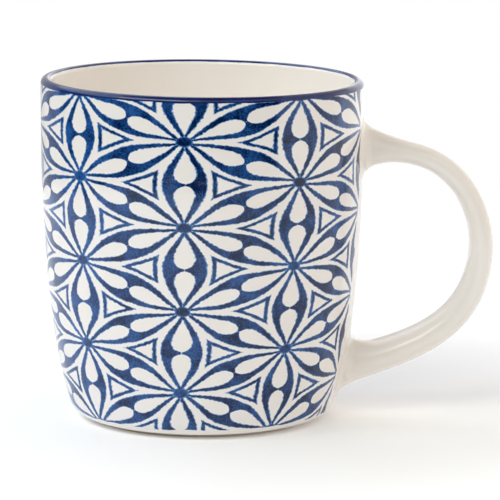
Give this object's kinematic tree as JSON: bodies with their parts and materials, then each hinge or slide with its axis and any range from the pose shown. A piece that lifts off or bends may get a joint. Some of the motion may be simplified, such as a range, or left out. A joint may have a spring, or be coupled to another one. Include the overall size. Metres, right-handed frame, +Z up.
{
  "type": "mug",
  "caption": "Barrel-shaped stoneware mug with a strap handle luted to its wall, a rounded blue lip, an all-over blue flower lattice and a low unglazed foot ring.",
  "frame": {"origin": "middle of the whole mug's outline, handle included, on the surface that the foot ring stands on; the cup's own axis is 17.7 mm towards -X from it", "axes": "+Z up, +X towards the handle, +Y across the handle"},
  "size_m": [0.1228, 0.0874, 0.0925],
  "materials": {
    "printed_glaze": "gloss",
    "white_glaze": "gloss",
    "slip_under_glaze": "gloss",
    "blue_rim_glaze": "gloss",
    "bare_stoneware": "matte"
  },
  "bodies": {
    "root": {"cup_body": "printed_glaze", "handle": "white_glaze", "upper_slip_joint": "slip_under_glaze", "lower_slip_joint": "slip_under_glaze"}
  },
  "joints": []
}
